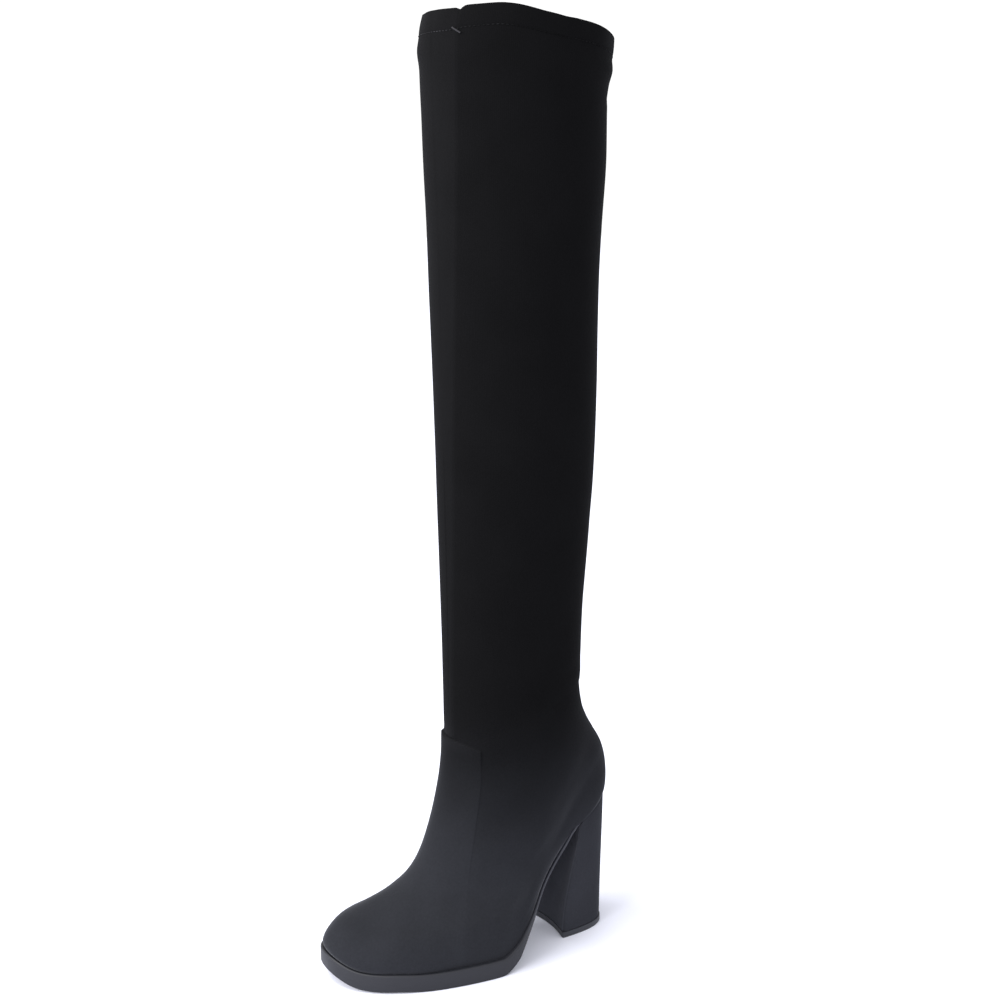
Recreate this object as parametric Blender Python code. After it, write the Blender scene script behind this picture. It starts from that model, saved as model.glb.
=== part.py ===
"""Over the knee sock boot for the left foot, on a flared block heel.

The toe points along -Y and the wearer's left, the outer side, is +X. The origin is the middle of the
heel's resting face. Upper, shaft and hem band are one closed family of rings: each ring runs from the
front of the foot round its outer side to the back and along its inner side to the front again. The
lowest ring follows the sole's edge, and the highest is the collar.
"""

import bpy
import numpy as np

# Lengths and heights in metres. A place "along" is counted from the back of the heel seat to the toe.
FOOT_LENGTH = 0.2172
BALL_WIDTH = 0.0805
HEEL_SEAT_HEIGHT = 0.1035
FOREFOOT_HEIGHT = 0.0128
TOE_SPRING = 0.0055
SWING = 0.0060
SWING_END = 0.9
WAIST_PLACE = 0.71
WAIST_SPREAD = 0.12

ANKLE_ALONG = 0.0205
ANKLE_DEPTH = 0.1070
ANKLE_WIDTH = 0.0745
VAMP_HEIGHT = 0.1650
COUNTER_HEIGHT = 0.0945

COLLAR_HEIGHT = 0.6528
COLLAR_DROP = 0.0108
COLLAR_CROWN = 0.0060
INNER_CROWN = 0.45
COLLAR_ALONG = 0.0050
COLLAR_DEPTH = 0.1284
COLLAR_WIDTH = 0.1245
HEM_HEIGHT = 0.0175

FOOT_WALL = 0.0020
SHAFT_WALL = 0.0014
HEM_WALL = 0.0024
VAMP_STEP = 0.0012
HEM_STEP = 0.0006

SEAT_THICKNESS = 0.0020
SOLE_LEDGE = 0.0032
SIDE_TOP = 0.12
SIDE_BOTTOM = 0.88
TOP_EASE = 0.6
LEAST_EASE = 0.2
EDGE_BEVEL = 0.0012
INSOLE_THICKNESS = 0.0024
INSOLE_CLEARANCE = 0.0009

HEEL_BACK = 0.0024
HEEL_LENGTH = 0.0436
HEEL_WIDTH = 0.0546
HEEL_SEAT_LENGTH = 0.0330
BREAST_HOLLOW = 0.0050
REST_ROUND = 3.2
FLARE_START = 0.85
TOP_LIFT = 0.0045
TOP_LIFT_INSET = 0.0003

GAP = 0.0003

# How finely the rings and edges are divided.
FRONT_COLUMNS = 10
BACK_COLUMNS = 15
FOOT_ROWS = 22
SHAFT_ROWS = 14
HEM_ROWS = 3
HEEL_ROWS = 7
HEEL_POINTS = 13
RING_SAMPLES = 160
SEAM_HALF = 0.004
END_STATIONS = 7
MIDDLE_STATIONS = 22
END_SHARE = 0.08

# The sole from heel to toe. The seat behind the heel's breast is one slope, so its first rows lie in line.
# ahead: from the heel's breast (0) to the toe (1). rise: upper face, from the forefoot (0) to the seat (1).
# spring: share of TOE_SPRING. thick: from SEAT_THICKNESS (0) to FOREFOOT_HEIGHT (1).
# ledge: share of SOLE_LEDGE by which the edge stands out past the upper.
SOLE = {
    "ahead": (-0.30, -0.15, 0.0, 0.03, 0.07, 0.14, 0.225, 0.30, 0.37, 0.44, 0.70, 0.85, 1.00, 1.12),
    "rise": (1.115, 0.9695, 0.824, 0.795, 0.69, 0.52, 0.335, 0.180, 0.060, 0.0, 0.0, 0.0, 0.0, 0.0),
    "spring": (0.0, 0.0, 0.0, 0.0, 0.0, 0.0, 0.0, 0.0, 0.0, 0.0, 0.0, 0.25, 1.0, 1.75),
    "thick": (0.0, 0.0, 0.0, 0.02, 0.06, 0.13, 0.22, 0.42, 0.78, 1.0, 1.0, 1.0, 1.0, 1.0),
    "ledge": (-0.30, -0.30, -0.30, 0.0, 0.12, 0.25, 0.35, 0.60, 0.90, 1.0, 1.0, 1.0, 1.0, 1.0),
}

# The middle line of the last, seen from above, as shares of SWING to the outer side, from toe to heel.
SWING_LINE = {
    "back": (0.0, 0.05, 0.10, 0.18, 0.27, 0.36, 0.44, 0.52, 0.60, 0.70, 0.82, 1.0),
    "side": (-2.33, -1.75, -1.17, -0.50, 0.17, 0.75, 1.20, 1.40, 1.30, 0.70, 0.20, 0.0),
}

# The rings of the foot, from the sole's edge to the ankle seam.
# front: from the ankle's front (0) to the toe (1). front_up: from the sole (0) to VAMP_HEIGHT (1).
# back: share of ANKLE_ALONG. back_up: share of COUNTER_HEIGHT above the seat.
# width: share of a width that goes from BALL_WIDTH to ANKLE_WIDTH with front_up.
# widest: where the ring is widest, from front (0) to back (1).
# round_front, round_back: how square its ends are, 2 being an ellipse.
# waist: share of BALL_WIDTH taken off each side at the arch. follow: how far it follows the sole's curve.
FOOT = {
    "front": (1.0, 1.017, 0.980, 0.895, 0.730, 0.530, 0.353, 0.221, 0.118, 0.044, 0.0),
    "front_up": (0.0, 0.032, 0.080, 0.133, 0.168, 0.222, 0.280, 0.380, 0.557, 0.761, 1.0),
    "back": (-0.14, -0.22, -0.29, -0.33, -0.335, -0.27, -0.10, 0.22, 0.58, 0.88, 1.0),
    "back_up": (0.0, 0.048, 0.106, 0.169, 0.238, 0.312, 0.402, 0.513, 0.640, 0.794, 1.0),
    "width": (1.00, 1.02, 1.01, 0.96, 0.88, 0.84, 0.88, 0.94, 0.975, 0.99, 0.99),
    "widest": (0.40, 0.39, 0.38, 0.39, 0.41, 0.45, 0.48, 0.50, 0.51, 0.51, 0.50),
    "round_front": (2.32, 2.35, 2.35, 2.30, 2.25, 2.20, 2.15, 2.10, 2.0, 2.0, 2.0),
    "round_back": (2.6, 2.6, 2.5, 2.4, 2.3, 2.2, 2.1, 2.0, 2.0, 2.0, 2.0),
    "waist": (0.150, 0.130, 0.100, 0.070, 0.045, 0.025, 0.010, 0.0, 0.0, 0.0, 0.0),
    "follow": (1.0, 0.97, 0.92, 0.82, 0.70, 0.56, 0.42, 0.27, 0.13, 0.04, 0.0),
    "seam": (0.339, 0.342, 0.338, 0.326, 0.299, 0.260, 0.221, 0.199, 0.195, 0.198, 0.190),
}

# The rings of the leg, from the ankle seam to the collar.
# up: share of the leg's height. depth, width: from the ankle's (0) to the collar's (1).
# back: the back edge, from ANKLE_ALONG (0) to COLLAR_ALONG (1).
LEG = {
    "up": (0.0, 0.075, 0.25, 0.48, 0.73, 0.87, 0.93, 0.96, 0.985, 1.0),
    "depth": (0.0, 0.0, 0.25, 0.53, 0.66, 0.87, 0.93, 0.96, 1.05, 1.0),
    "width": (0.0, 0.03, 0.23, 0.57, 0.84, 0.945, 1.02, 1.04, 1.04, 1.0),
    "back": (0.0, 0.02, 0.32, 0.55, 0.57, 0.70, 0.72, 0.76, 0.95, 1.0),
}

# The collar's edge, as shares of COLLAR_CROWN above its line from front (0) to back (1). The inner side has
# INNER_CROWN of it.
CROWN = {
    "back": (0.0, 0.02, 0.053, 0.11, 0.18, 0.37, 0.58, 0.88, 1.0),
    "rise": (0.0, 0.06, 0.42, 0.76, 0.96, 0.76, 0.26, 0.06, 0.0),
}
CROWN_START = 0.70

SEAT_BACK = FOOT["back"][0] * ANKLE_ALONG
HEEL_MIDDLE = HEEL_BACK + HEEL_LENGTH / 2
ANKLE_FRONT = ANKLE_ALONG + ANKLE_DEPTH


def steady(xs, ys, x):
    """A curve through the points with no overshoot, so that level stretches stay level."""
    xs, ys, x = np.array(xs, float), np.array(ys, float), np.asarray(x, float)
    step = np.diff(xs)
    slope = np.diff(ys) / step
    both = slope[:-1] * slope[1:]
    mean = np.zeros(len(ys))
    rising = both > 0
    mean[1:-1][rising] = 2 * both[rising] / (slope[:-1] + slope[1:])[rising]
    mean[0], mean[-1] = slope[0], slope[-1]
    return hermite(xs, ys, mean, x)


def flowing(xs, ys, x):
    """A smooth curve through the points."""
    xs, ys = np.array(xs, float), np.array(ys, float)
    return hermite(xs, ys, np.gradient(ys, xs), np.asarray(x, float))


def hermite(xs, ys, slopes, x):
    i = np.clip(np.searchsorted(xs, x, side="right") - 1, 0, len(xs) - 2)
    step = xs[i + 1] - xs[i]
    t = (x - xs[i]) / step
    left = (2 * t**3 - 3 * t**2 + 1) * ys[i] + (t**3 - 2 * t**2 + t) * step * slopes[i]
    right = (3 * t**2 - 2 * t**3) * ys[i + 1] + (t**3 - t**2) * step * slopes[i + 1]
    return left + right


def mix(a, b, share):
    return a + (b - a) * share


def sole_column(column, along):
    ahead = (np.asarray(along) - HEEL_SEAT_LENGTH) / (FOOT_LENGTH - HEEL_SEAT_LENGTH)
    return steady(SOLE["ahead"], SOLE[column], ahead)


def sole_thickness(along):
    return mix(SEAT_THICKNESS, FOREFOOT_HEIGHT, sole_column("thick", along))


def sole_top(along):
    """Height of the outsole's upper face."""
    climb = (HEEL_SEAT_HEIGHT - FOREFOOT_HEIGHT) * sole_column("rise", along)
    return FOREFOOT_HEIGHT + climb + TOE_SPRING * sole_column("spring", along)


def sole_bottom(along):
    """Height of the outsole's underside, level under the ball."""
    return sole_top(along) - sole_thickness(along)


def toe_height():
    return float(sole_top(FOOT_LENGTH))


def foot_ring(row):
    """The sizes of the foot's ring at this row, 0 at the sole and 1 at the ankle."""
    place = row * (len(FOOT["front"]) - 1)
    rows = np.arange(len(FOOT["front"]))
    got = {name: float(flowing(rows, values, place)) for name, values in FOOT.items()}
    width = mix(BALL_WIDTH, ANKLE_WIDTH, np.clip(got["front_up"], 0, 1))
    return {
        "front": mix(ANKLE_FRONT, FOOT_LENGTH, got["front"]),
        "front_z": mix(toe_height(), VAMP_HEIGHT, got["front_up"]),
        "back": ANKLE_ALONG * got["back"],
        "back_z": HEEL_SEAT_HEIGHT + COUNTER_HEIGHT * got["back_up"],
        "half": width * got["width"] / 2,
        "widest": got["widest"],
        "round_front": got["round_front"],
        "round_back": got["round_back"],
        "waist": BALL_WIDTH * got["waist"],
        "follow": got["follow"],
        "swing": SWING * max(0.0, 1 - row / SWING_END),
        "crown": 0.0,
        "seam": got["seam"],
    }


def leg_ring(row):
    """The sizes of the leg's ring at this row, 0 at the ankle and 1 at the collar."""
    depth = mix(ANKLE_DEPTH, COLLAR_DEPTH, flowing(LEG["up"], LEG["depth"], row))
    width = mix(ANKLE_WIDTH, COLLAR_WIDTH, flowing(LEG["up"], LEG["width"], row))
    back = mix(ANKLE_ALONG, COLLAR_ALONG, flowing(LEG["up"], LEG["back"], row))
    return {
        "front": back + depth,
        "front_z": mix(VAMP_HEIGHT, COLLAR_HEIGHT, row),
        "back": back,
        "back_z": mix(HEEL_SEAT_HEIGHT + COUNTER_HEIGHT, COLLAR_HEIGHT - COLLAR_DROP, row),
        "half": width * FOOT["width"][-1] / 2,
        "widest": 0.5,
        "round_front": 2.0,
        "round_back": 2.0,
        "waist": 0.0,
        "follow": 0.0,
        "swing": 0.0,
        "crown": COLLAR_CROWN * max(0.0, (row - CROWN_START) / (1 - CROWN_START)) ** 0.5,
        "seam": FOOT["seam"][-1],
    }


def half_width(ring, back):
    """Half the ring's width at a place between its front (0) and its back (1)."""
    ahead = np.clip((ring["widest"] - back) / ring["widest"], 0, 1)
    behind = np.clip((back - ring["widest"]) / (1 - ring["widest"]), 0, 1)
    front = (1 - ahead ** ring["round_front"]) ** (1 / ring["round_front"])
    rear = (1 - behind ** ring["round_back"]) ** (1 / ring["round_back"])
    arch = ring["waist"] * np.exp(-(((back - WAIST_PLACE) / WAIST_SPREAD) ** 2))
    half = ring["half"] * np.minimum(front, rear) - arch
    half[0] = half[-1] = 0.0
    return half


def ring_curve(ring, side):
    """One side of a ring, front to back, as points of (across, along, height)."""
    back = (1 - np.cos(np.linspace(0, np.pi, RING_SAMPLES))) / 2
    along = mix(ring["front"], ring["back"], back)
    low = mix(FOOT_LENGTH, SEAT_BACK, back)
    bend = sole_top(low) - mix(toe_height(), HEEL_SEAT_HEIGHT, back)
    height = mix(ring["front_z"], ring["back_z"], back) + bend * ring["follow"]
    crown = ring["crown"] * (1 if side > 0 else INNER_CROWN)
    height += crown * steady(CROWN["back"], CROWN["rise"], back)
    middle = ring["swing"] * flowing(SWING_LINE["back"], SWING_LINE["side"], back)
    return np.stack([middle + side * half_width(ring, back), along, height], axis=1)


def column_shares(seam):
    """Where a half ring's points lie on its length, with a close pair at the vamp's seam."""
    front = np.linspace(0, seam - SEAM_HALF, FRONT_COLUMNS + 1)
    rear = np.linspace(seam + SEAM_HALF, 1, BACK_COLUMNS + 1)
    return np.concatenate([front, rear])


def along_curve(curve, shares):
    """Points at these shares of the curve's length."""
    steps = np.linalg.norm(np.diff(curve, axis=0), axis=1)
    length = np.concatenate([[0], np.cumsum(steps)])
    return np.stack([np.interp(shares * length[-1], length, curve[:, k]) for k in range(3)], axis=1)


def ring_loop(ring):
    """A ring's points, from the front round the outer side to the back and home along the inner side."""
    shares = column_shares(ring["seam"])
    outer = along_curve(ring_curve(ring, 1), shares)
    inner = along_curve(ring_curve(ring, -1), shares)
    return np.concatenate([outer, inner[-2:0:-1]])


def is_vamp():
    """For each point of a loop, 1 where it belongs to the vamp and 0 behind its seams."""
    half = len(column_shares(FOOT["seam"][0]))
    count = 2 * half - 2
    place = np.arange(count)
    from_front = np.minimum(place, count - place)
    return (from_front <= FRONT_COLUMNS).astype(float)


def outward(grid):
    """Unit normals of a grid of loops."""
    round_ring = np.roll(grid, -1, axis=1) - np.roll(grid, 1, axis=1)
    up = np.gradient(grid, axis=0)
    normal = np.cross(up, round_ring)
    return normal / np.linalg.norm(normal, axis=2, keepdims=True)


def level(normals):
    """The same directions turned level."""
    flat = normals * np.array([1.0, 1.0, 0.0])
    return flat / np.linalg.norm(flat, axis=-1, keepdims=True)


def in_plan(loop, distance):
    """A loop moved outward in plan by a distance for each point."""
    ahead = np.roll(loop, -1, axis=0) - np.roll(loop, 1, axis=0)
    side = np.stack([-ahead[:, 1], ahead[:, 0]], axis=1)
    side /= np.linalg.norm(side, axis=1, keepdims=True)
    moved = loop.copy()
    moved[:, :2] += side * np.broadcast_to(distance, len(loop))[:, None]
    return moved


def to_world(points):
    """Points of (across, along, height) turned into the object's X, Y and Z."""
    points = np.asarray(points)
    return np.stack([points[..., 0], HEEL_MIDDLE - points[..., 1], points[..., 2]], axis=-1)


def ring_between(loops, close):
    """Quads that join loops of the same length, one after another."""
    count = loops[0][1]
    faces = []
    for (low, _), (high, _) in zip(loops[:-1], loops[1:]):
        for j in range(count):
            k = (j + 1) % count
            faces.append((low + j, low + k, high + k, high + j))
    if close:
        low, high = loops[-1][0], loops[0][0]
        for j in range(count):
            k = (j + 1) % count
            faces.append((low + j, low + k, high + k, high + j))
    return faces


def ladder(first, count, turned):
    """A loop filled across, from its front point to its back point."""
    faces = []
    for j in range(count // 2):
        left, right = (first + j, first + j + 1), (first + (count - j) % count, first + count - j - 1)
        face = list(dict.fromkeys([left[0], left[1], right[1], right[0]]))
        faces.append(tuple(face[::-1] if turned else face))
    return faces


def add_solid(name, loops, faces, colour, roughness):
    """An object from its loops of points, with its own material."""
    points = np.concatenate(loops)
    mesh = bpy.data.meshes.new(name)
    mesh.from_pydata([tuple(p) for p in to_world(points)], [], faces)
    mesh.validate()
    mesh.shade_smooth()
    mesh.set_sharp_from_angle(angle=np.radians(40))
    material = bpy.data.materials.new(name)
    material.use_nodes = True
    shader = material.node_tree.nodes["Principled BSDF"]
    shader.inputs["Base Color"].default_value = (*colour, 1.0)
    shader.inputs["Roughness"].default_value = roughness
    shader.inputs["Metallic"].default_value = 0.0
    mesh.materials.append(material)
    solid = bpy.data.objects.new(name, mesh)
    bpy.context.scene.collection.objects.link(solid)
    return solid


def add_tube(name, outer, inner, colour, roughness):
    """A hollow piece between an outer and an inner grid of loops, both from the bottom up."""
    loops = [*outer, *inner[::-1]]
    count = len(outer[0])
    starts = [(i * count, count) for i in range(len(loops))]
    return add_solid(name, loops, ring_between(starts, close=True), colour, roughness)


def add_block(name, loops, colour, roughness):
    """A filled piece from loops, from the bottom up."""
    count = len(loops[0])
    starts = [(i * count, count) for i in range(len(loops))]
    faces = ring_between(starts, close=False)
    faces += ladder(starts[0][0], count, turned=True)
    faces += ladder(starts[-1][0], count, turned=False)
    return add_solid(name, loops, faces, colour, roughness)


def foot_grid():
    return np.stack([ring_loop(foot_ring(row)) for row in np.linspace(0, 1, FOOT_ROWS + 1)])


def leg_grid(rows):
    return np.stack([ring_loop(leg_ring(row)) for row in rows])


def hem_row():
    """The leg row at which the hem band starts."""
    return 1 - HEM_HEIGHT / (COLLAR_HEIGHT - VAMP_HEIGHT)


def leg_gap():
    """The gap as a share of the leg's height."""
    return GAP / (COLLAR_HEIGHT - VAMP_HEIGHT)


def rest_on_sole(loop):
    """Heights that keep a loop's straight edges the gap above the curved sole."""
    along = loop[:, 1]
    height = sole_top(along) + GAP
    lift = np.zeros(len(loop))
    for step in (1, -1):
        between = sole_top((along + np.roll(along, step)) / 2) + GAP
        lift = np.maximum(lift, between - (height + np.roll(height, step)) / 2)
    return height + lift


def build_upper():
    """The lasted foot: vamp in front of the side seams, one step proud of the quarters behind them."""
    base = foot_grid()
    normals = outward(base)
    normals[0] = level(normals[0])
    outer = base + normals * VAMP_STEP * is_vamp()[None, :, None]
    inner = base - normals * FOOT_WALL
    for grid in (outer, inner):
        grid[0, :, 2] = rest_on_sole(grid[0])
    add_tube("upper", outer, inner, (0.030, 0.031, 0.036), 0.85)


def build_shaft():
    """The stretch leg, from the ankle seam to the hem band."""
    base = leg_grid(np.linspace(leg_gap(), hem_row() - leg_gap(), SHAFT_ROWS + 1))
    normals = outward(base)
    add_tube("shaft", base, base - normals * SHAFT_WALL, (0.016, 0.016, 0.018), 0.9)


def build_hem():
    """The band turned in at the collar, a little thicker than the leg."""
    base = leg_grid(np.linspace(hem_row(), 1, HEM_ROWS + 1))
    normals = outward(base)
    outer = base + normals * HEM_STEP
    add_tube("hem_band", outer, outer - normals * HEM_WALL, (0.018, 0.018, 0.020), 0.9)


def stations(low, high):
    """Places along the sole between two ends, close together at both and the same for every piece between."""
    close = 1 - np.cos(np.linspace(0, np.pi / 2, END_STATIONS + 1))
    first, last = END_SHARE * FOOT_LENGTH, (1 - 2 * END_SHARE) * FOOT_LENGTH
    middle = np.linspace(first, last, MIDDLE_STATIONS + 1)[1:-1]
    return np.concatenate([low + (first - low) * close, middle, (high - (high - last) * close)[::-1]])


def plate_loop(outline, height):
    """An outline cut at the shared stations, from its front tip round the outer side, at a height along it."""
    outline = np.roll(outline, -int(np.argmax(outline[:, 1])), axis=0)
    back = int(np.argmin(outline[:, 1]))
    sides = (outline[back::-1], np.concatenate([outline[back:], outline[:1]]))
    along = stations(outline[back, 1], outline[0, 1])
    loops = [np.interp(along, side[:, 1], side[:, 0]) for side in sides]
    across = np.concatenate([loops[0][::-1], loops[1][1:-1]])
    along = np.concatenate([along[::-1], along[1:-1]])
    return np.stack([across, along, height(along)], axis=1)


def fine_outline():
    """The sole's edge line at many points."""
    outer, inner = (ring_curve(foot_ring(0), side) for side in (1, -1))
    return np.concatenate([outer, inner[-2:0:-1]])


def sole_loop(depth, inset):
    """The outsole's edge at a share of its thickness below its top."""
    outline = fine_outline()
    outline = in_plan(outline, SOLE_LEDGE * sole_column("ledge", outline[:, 1]) - inset)
    return plate_loop(outline, lambda along: mix(sole_top(along), sole_bottom(along), depth))


def build_outsole():
    """One moulded sole: thick under the forefoot, fine at the waist, and hidden under the heel seat."""
    ease = EDGE_BEVEL * np.clip(sole_column("thick", fine_outline()[:, 1]), LEAST_EASE, 1)
    loops = [
        sole_loop(1.0, ease),
        sole_loop(SIDE_BOTTOM, 0.0),
        sole_loop(SIDE_TOP, 0.0),
        sole_loop(0.0, ease * TOP_EASE),
    ]
    add_block("outsole", loops, (0.040, 0.041, 0.047), 0.55)


def build_insole():
    """The sock board inside the upper's wall."""
    outline = in_plan(fine_outline(), -(FOOT_WALL + INSOLE_CLEARANCE))
    low = plate_loop(outline, lambda along: sole_top(along) + GAP)
    high = low + np.array([0, 0, INSOLE_THICKNESS])
    add_block("insole", [low, high], (0.050, 0.048, 0.046), 0.8)


def seat_outline():
    """The heel's outline where it meets the sole, from its outer front corner round the back."""
    sides = []
    for side in (1, -1):
        curve = ring_curve(foot_ring(0), side)
        curve = curve[curve[:, 1] <= HEEL_SEAT_LENGTH]
        sides.append(along_curve(curve, np.linspace(0, 1, HEEL_POINTS)))
    return np.concatenate([sides[0], sides[1][-2::-1]])


def rest_outline(inset):
    """The heel's outline on the floor: straight sides and a round back."""
    turn = np.linspace(0, 1, RING_SAMPLES)
    half = HEEL_WIDTH / 2 - inset
    across = half * (1 - turn**REST_ROUND) ** (1 / REST_ROUND)
    along = HEEL_BACK + mix(HEEL_LENGTH - inset, inset, turn)
    sides = []
    for side in (1, -1):
        curve = np.stack([side * across, along, np.zeros(RING_SAMPLES)], axis=1)
        sides.append(along_curve(curve, np.linspace(0, 1, HEEL_POINTS)))
    return np.concatenate([sides[0], sides[1][-2::-1]])


def breast_line(outline, hollow):
    """As many points across the heel's front as the outline has, from its inner corner to its outer one."""
    start, end = outline[-1], outline[0]
    share = np.linspace(0, 1, len(outline))[1:-1, None]
    line = mix(start, end, share)
    line[:, 1] -= hollow * (1 - (2 * share[:, 0] - 1) ** 2)
    return line


def heel_loop(outline, hollow):
    """The whole outline from its outer front corner, whose back half can be joined to its front half."""
    return np.concatenate([outline, breast_line(outline, hollow)])


def build_heel():
    """The covered block: its breast leans forward to the floor and is hollow across."""
    top = heel_loop(seat_outline(), BREAST_HOLLOW)
    top[:, 2] = sole_bottom(top[:, 1]) - GAP
    foot = heel_loop(rest_outline(0.0), BREAST_HOLLOW)
    foot[:, 2] = TOP_LIFT + GAP
    loops = []
    for fall in np.linspace(1, 0, HEEL_ROWS + 1):
        eased = fall**FLARE_START
        flare = 3 * eased**2 - 2 * eased**3
        loop = mix(top, foot, flare)
        loop[:, 2] = mix(top[:, 2], foot[:, 2], fall)
        loops.append(loop)
    add_block("heel", loops, (0.027, 0.028, 0.032), 0.85)


def build_top_lift():
    """The hard piece that the heel stands on."""
    loops = []
    for height in (0.0, TOP_LIFT):
        loop = heel_loop(rest_outline(TOP_LIFT_INSET), BREAST_HOLLOW)
        loop[:, 2] = height
        loops.append(loop)
    add_block("heel_top_lift", loops, (0.045, 0.046, 0.052), 0.5)


for old in list(bpy.data.objects):
    bpy.data.objects.remove(old)
build_upper()
build_shaft()
build_hem()
build_outsole()
build_insole()
build_heel()
build_top_lift()
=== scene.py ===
"""Dresses the CAD frame of a thigh high sock boot: its cloth, sole, heel, stitches and the studio around it.

Places on the boot are given as (across, along, height) in metres. "Across" is the wearer's left, "along" is
counted from the back of the heel seat to the toe, and a ring runs round the boot from its front (share 0) to
its back (share 1) on either side.
"""

import bpy
import numpy as np
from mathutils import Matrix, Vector


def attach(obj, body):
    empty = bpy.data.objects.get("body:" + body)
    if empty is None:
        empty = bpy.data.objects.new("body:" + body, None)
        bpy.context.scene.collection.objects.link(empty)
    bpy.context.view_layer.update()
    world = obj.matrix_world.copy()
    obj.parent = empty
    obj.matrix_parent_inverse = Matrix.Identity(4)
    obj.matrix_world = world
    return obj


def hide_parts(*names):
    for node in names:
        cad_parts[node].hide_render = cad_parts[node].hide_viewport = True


bl_info = {
    "name": "Thigh high sock boot",
    "version": (1, 0, 0),
    "blender": (4, 5, 0),
    "location": "3D View > Sidebar > Boot",
    "description": "Builds the cloth, sole, heel and stitches of a thigh high sock boot over its CAD frame",
    "category": "Add Mesh",
}

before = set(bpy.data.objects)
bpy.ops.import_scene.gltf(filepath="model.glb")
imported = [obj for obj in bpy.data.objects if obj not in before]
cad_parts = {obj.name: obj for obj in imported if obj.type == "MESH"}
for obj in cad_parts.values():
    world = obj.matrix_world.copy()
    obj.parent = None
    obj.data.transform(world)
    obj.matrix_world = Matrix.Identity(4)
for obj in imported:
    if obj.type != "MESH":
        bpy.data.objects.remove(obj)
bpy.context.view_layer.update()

# The boot's own sizes, as in the CAD frame.
FOOT_LENGTH = 0.2172
BALL_WIDTH = 0.0805
HEEL_SEAT_HEIGHT = 0.1035
FOREFOOT_HEIGHT = 0.0128
TOE_SPRING = 0.0055
SWING = 0.0060
SWING_END = 0.9
WAIST_PLACE = 0.71
WAIST_SPREAD = 0.12

ANKLE_ALONG = 0.0205
ANKLE_DEPTH = 0.1070
ANKLE_WIDTH = 0.0745
VAMP_HEIGHT = 0.1650
COUNTER_HEIGHT = 0.0945

COLLAR_HEIGHT = 0.6528
COLLAR_DROP = 0.0108
COLLAR_CROWN = 0.0060
INNER_CROWN = 0.45
COLLAR_ALONG = 0.0050
COLLAR_DEPTH = 0.1284
COLLAR_WIDTH = 0.1245
HEM_HEIGHT = 0.0175

FOOT_WALL = 0.0020
SHAFT_WALL = 0.0014
HEM_WALL = 0.0024

SEAT_THICKNESS = 0.0020
SOLE_LEDGE = 0.0032
INSOLE_THICKNESS = 0.0024
INSOLE_CLEARANCE = 0.0009

HEEL_BACK = 0.0024
HEEL_LENGTH = 0.0436
HEEL_WIDTH = 0.0546
HEEL_SEAT_LENGTH = 0.0330
BREAST_HOLLOW = 0.0050
REST_ROUND = 3.2
FLARE_START = 0.85
TOP_LIFT = 0.0045
GAP = 0.0003
HEEL_MIDDLE = HEEL_BACK + HEEL_LENGTH / 2

SOLE = {
    "ahead": (-0.30, -0.15, 0.0, 0.03, 0.07, 0.14, 0.225, 0.30, 0.37, 0.44, 0.70, 0.85, 1.00, 1.12),
    "rise": (1.115, 0.9695, 0.824, 0.795, 0.69, 0.52, 0.335, 0.180, 0.060, 0.0, 0.0, 0.0, 0.0, 0.0),
    "spring": (0.0, 0.0, 0.0, 0.0, 0.0, 0.0, 0.0, 0.0, 0.0, 0.0, 0.0, 0.25, 1.0, 1.75),
    "thick": (0.0, 0.0, 0.0, 0.02, 0.06, 0.13, 0.22, 0.46, 0.90, 1.0, 1.0, 1.0, 1.0, 1.0),
    "ledge": (-0.30, -0.30, -0.30, 0.45, 0.62, 0.62, 0.55, 0.62, 0.90, 1.0, 1.0, 1.0, 1.0, 1.0),
}
SWING_LINE = {
    "back": (0.0, 0.05, 0.10, 0.18, 0.27, 0.36, 0.44, 0.52, 0.60, 0.70, 0.82, 1.0),
    "side": (-2.33, -1.75, -1.17, -0.50, 0.17, 0.75, 1.20, 1.40, 1.30, 0.70, 0.20, 0.0),
}
FOOT = {
    "front": (1.0, 1.017, 0.980, 0.895, 0.730, 0.530, 0.353, 0.221, 0.118, 0.044, 0.0),
    "front_up": (0.0, 0.032, 0.080, 0.133, 0.168, 0.222, 0.280, 0.380, 0.557, 0.761, 1.0),
    "back": (-0.14, -0.22, -0.29, -0.33, -0.335, -0.27, -0.10, 0.22, 0.58, 0.88, 1.0),
    "back_up": (0.0, 0.048, 0.106, 0.169, 0.238, 0.312, 0.402, 0.513, 0.640, 0.794, 1.0),
    "width": (1.00, 1.02, 1.01, 0.96, 0.88, 0.84, 0.88, 0.94, 0.975, 0.99, 0.99),
    "widest": (0.40, 0.39, 0.38, 0.39, 0.41, 0.45, 0.48, 0.50, 0.51, 0.51, 0.50),
    "round_front": (2.32, 2.35, 2.35, 2.30, 2.25, 2.20, 2.15, 2.10, 2.0, 2.0, 2.0),
    "round_back": (2.6, 2.6, 2.5, 2.4, 2.3, 2.2, 2.1, 2.0, 2.0, 2.0, 2.0),
    "waist": (0.150, 0.130, 0.100, 0.070, 0.045, 0.025, 0.010, 0.0, 0.0, 0.0, 0.0),
    "follow": (1.0, 0.97, 0.92, 0.82, 0.70, 0.56, 0.42, 0.27, 0.13, 0.04, 0.0),
    "seam": (0.339, 0.342, 0.338, 0.326, 0.299, 0.260, 0.221, 0.199, 0.195, 0.198, 0.190),
}
LEG = {
    "up": (0.0, 0.075, 0.25, 0.48, 0.73, 0.87, 0.93, 0.96, 0.985, 1.0),
    "depth": (0.0, 0.0, 0.25, 0.53, 0.66, 0.87, 0.93, 0.96, 1.05, 1.0),
    "width": (0.0, 0.03, 0.23, 0.57, 0.84, 0.945, 1.02, 1.04, 1.04, 1.0),
    "back": (0.0, 0.02, 0.32, 0.55, 0.57, 0.70, 0.72, 0.76, 0.95, 1.0),
}
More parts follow.
